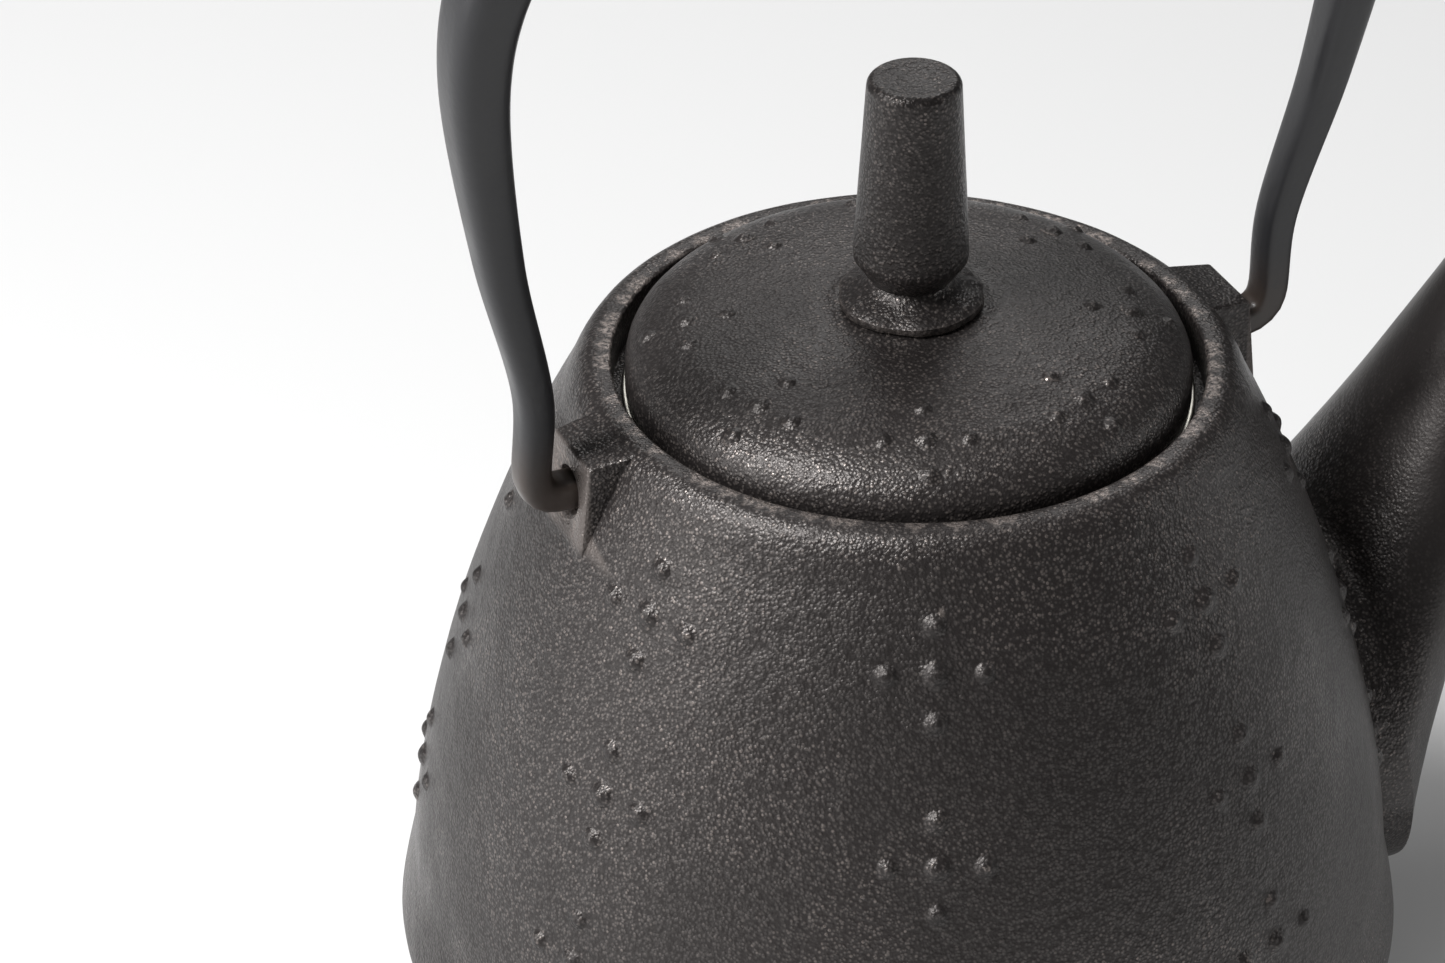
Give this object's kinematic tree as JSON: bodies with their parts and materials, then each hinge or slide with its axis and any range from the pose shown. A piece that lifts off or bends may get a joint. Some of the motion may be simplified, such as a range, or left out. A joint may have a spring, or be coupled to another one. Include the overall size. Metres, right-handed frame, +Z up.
{
  "type": "cast iron teapot",
  "caption": "Egg-shaped cast iron teapot with a swinging bail handle, an inset domed lid with a tapered knob, a horn spout and a lift-out steel strainer.",
  "frame": {"origin": "centre of the flat base, on the surface the teapot stands on", "axes": "+Z up through the middle of the lid, +X towards the spout, the handle's pivots lie on a line along X"},
  "size_m": [0.1804, 0.1418, 0.2292],
  "materials": {
    "cast_iron": "sand-cast, black-brown, baked matt coat with brighter worn grains",
    "handle_enamel": "smooth satin black",
    "stainless": "fine brushed stainless sheet",
    "fixing_steel": "plain machined steel"
  },
  "bodies": {
    "pot": {"pot_body": "cast_iron"},
    "handle": {"handle": "handle_enamel"},
    "strainer": {"strainer_rim": "stainless", "strainer_wall": "stainless", "strainer_floor": "stainless", "strainer_band": "stainless"},
    "lid": {"lid": "cast_iron", "knob": "cast_iron", "knob_washer": "fixing_steel", "knob_screw": "fixing_steel"}
  },
  "joints": [
    {"name": "handle_swing", "type": "hinge", "parent": "pot", "child": "handle", "pos_m": [0, 0, 0.1126], "axis": [1, 0, 0], "range_deg": [-129.7, 120.3]},
    {"name": "strainer_lift", "type": "slide", "parent": "pot", "child": "strainer", "axis": [0, 0, 1], "range_m": [0, 0.045]},
    {"name": "lid_lift", "type": "slide", "parent": "strainer", "child": "lid", "axis": [0, 0, 1], "range_m": [0, 0.045]}
  ]
}
